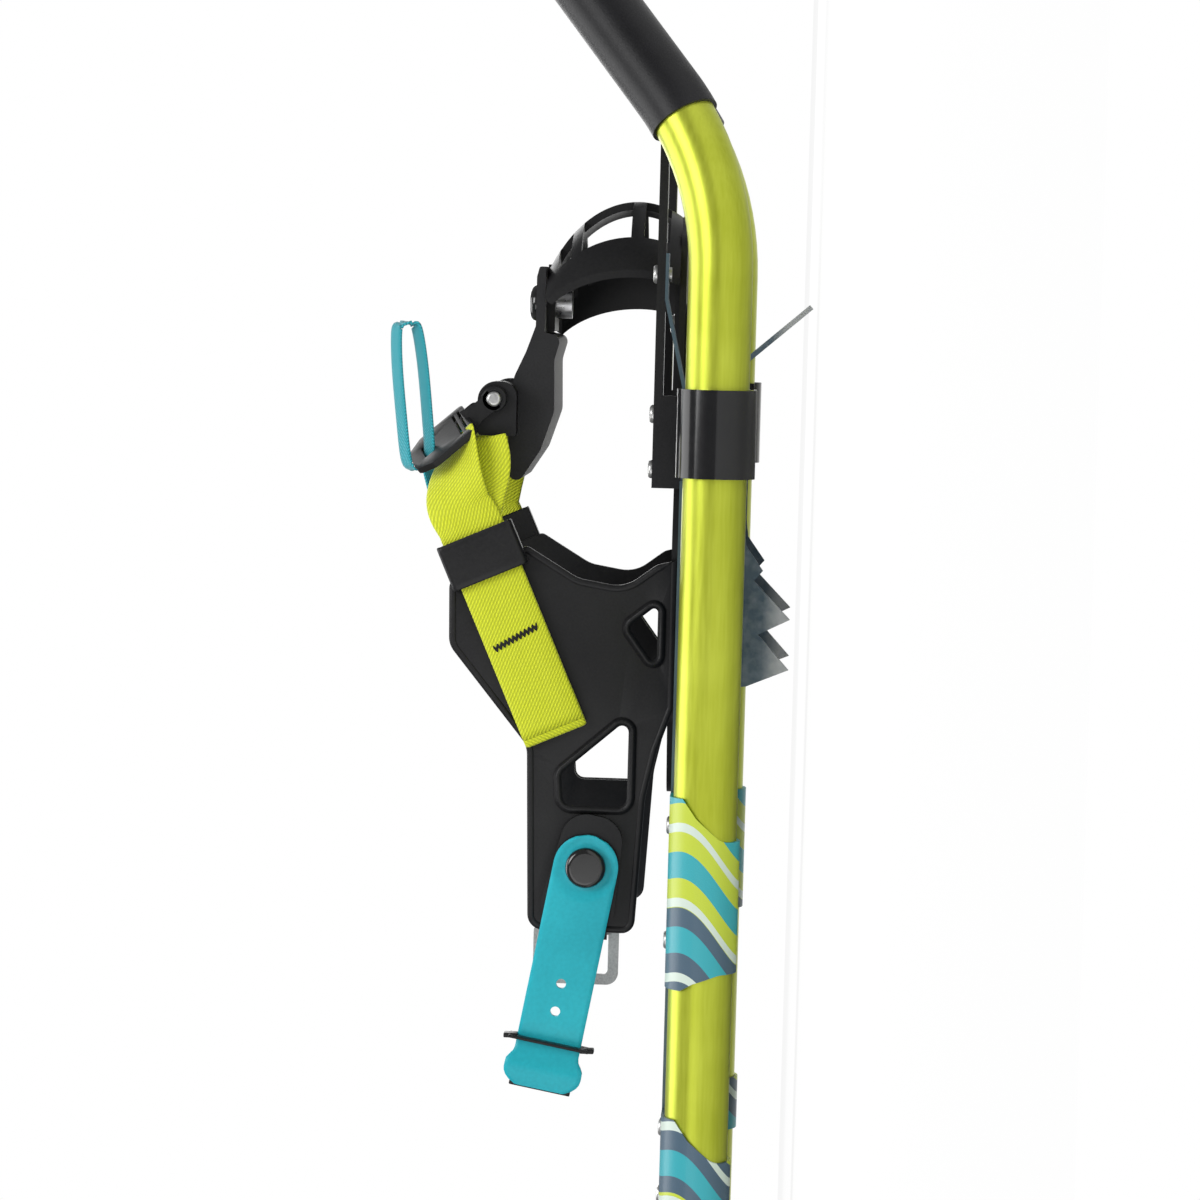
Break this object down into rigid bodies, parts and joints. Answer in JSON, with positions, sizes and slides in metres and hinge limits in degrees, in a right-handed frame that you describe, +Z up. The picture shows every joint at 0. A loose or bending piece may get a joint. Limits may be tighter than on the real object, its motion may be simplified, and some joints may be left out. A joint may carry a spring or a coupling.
{
  "type": "snowshoe",
  "caption": "Trail snowshoe: bent tube frame, moulded toe, wrapped deck, hinged crampon, and a harness with toe hood, wings, webbing and a buckled heel strap.",
  "frame": {"origin": "on the ground, under the middle of the overall length and width", "axes": "+X to the toe along the rails, +Y to the wearer's left, +Z up"},
  "size_m": [0.635, 0.2088, 0.1617],
  "materials": {
    "lime_tube": "satin anodised",
    "toe_black": "fine texture, satin",
    "deck_slate": "coated sheet with printed bands",
    "pivot_gloss": "gloss",
    "rivet_steel": "satin",
    "bushing_nylon": "matte",
    "axle_steel": "satin",
    "crampon_steel": "slate coating with bare cut edges",
    "harness_black": "satin moulded",
    "webbing_lime": "woven",
    "buckle_black": "satin moulded",
    "loop_teal": "woven",
    "strap_teal": "satin moulded",
    "button_black": "gloss",
    "buckle_steel": "cast grain"
  },
  "bodies": {
    "frame": {"frame_tube": "lime_tube", "toe_bow": "toe_black", "toe_bow_rivets": "rivet_steel", "deck_sheet": "deck_slate", "deck_rivets": "rivet_steel", "pivot_band_right": "pivot_gloss", "pivot_band_left": "pivot_gloss", "band_screws": "rivet_steel", "pivot_bushing_right": "bushing_nylon", "pivot_bushing_left": "bushing_nylon"},
    "binding": {"pivot_axle": "axle_steel", "axle_collars": "axle_steel", "toe_crampon": "crampon_steel", "footbed": "harness_black", "base_rivets": "rivet_steel", "side_wing_right": "harness_black", "side_wing_left": "harness_black", "toe_cage": "harness_black", "instep_plate": "harness_black", "instep_stud": "axle_steel", "instep_button": "button_black", "strap_lug_right": "harness_black", "strap_lug_left": "harness_black", "lug_rivet_right": "rivet_steel", "lug_rivet_left": "rivet_steel", "webbing_right": "webbing_lime", "webbing_left": "webbing_lime", "webbing_keeper_right": "buckle_black", "webbing_keeper_left": "buckle_black", "heel_pad_right": "harness_black", "heel_button_rivet": "button_black", "heel_tab_left": "harness_black", "heel_tab_rivet": "rivet_steel"},
    "buckle_right": {"ladder_buckle_right": "buckle_black", "pull_loop_right": "loop_teal"},
    "buckle_left": {"ladder_buckle_left": "buckle_black", "pull_loop_left": "loop_teal"},
    "heel_strap": {"heel_strap": "strap_teal"},
    "strap_keeper": {"strap_keeper": "buckle_black"},
    "heel_buckle": {"heel_buckle_frame": "buckle_steel"},
    "heel_tongue": {"heel_buckle_tongue": "buckle_steel"}
  },
  "joints": [
    {"name": "binding_pivot", "type": "hinge", "parent": "frame", "child": "binding", "pos_m": [0.0985, 0, 0.035], "axis": [0, 1, 0], "range_deg": [0, 70]},
    {"name": "buckle_tilt_right", "type": "hinge", "parent": "binding", "child": "buckle_right", "pos_m": [0.1082, -0.041, 0.1215], "axis": [0, 1, 0], "range_deg": [0, 40]},
    {"name": "buckle_tilt_left", "type": "hinge", "parent": "binding", "child": "buckle_left", "pos_m": [0.1082, 0.041, 0.1215], "axis": [0, 1, 0], "range_deg": [0, 40]},
    {"name": "heel_strap_swing", "type": "hinge", "parent": "binding", "child": "heel_strap", "pos_m": [-0.0702, -0.054, 0.0809], "axis": [0, 1, 0], "range_deg": [-12, 60]},
    {"name": "strap_keeper_slide", "type": "slide", "parent": "heel_strap", "child": "strap_keeper", "axis": [0.9839, 0, -0.1788], "range_m": [0, 0.03]},
    {"name": "heel_buckle_swing", "type": "hinge", "parent": "binding", "child": "heel_buckle", "pos_m": [-0.1105, 0.0536, 0.089], "axis": [0, 0, 1], "range_deg": [-60, 35]},
    {"name": "heel_tongue_swing", "type": "hinge", "parent": "heel_buckle", "child": "heel_tongue", "pos_m": [-0.1105, 0.0536, 0.089], "axis": [0, 0, 1], "range_deg": [-75, 0]}
  ]
}
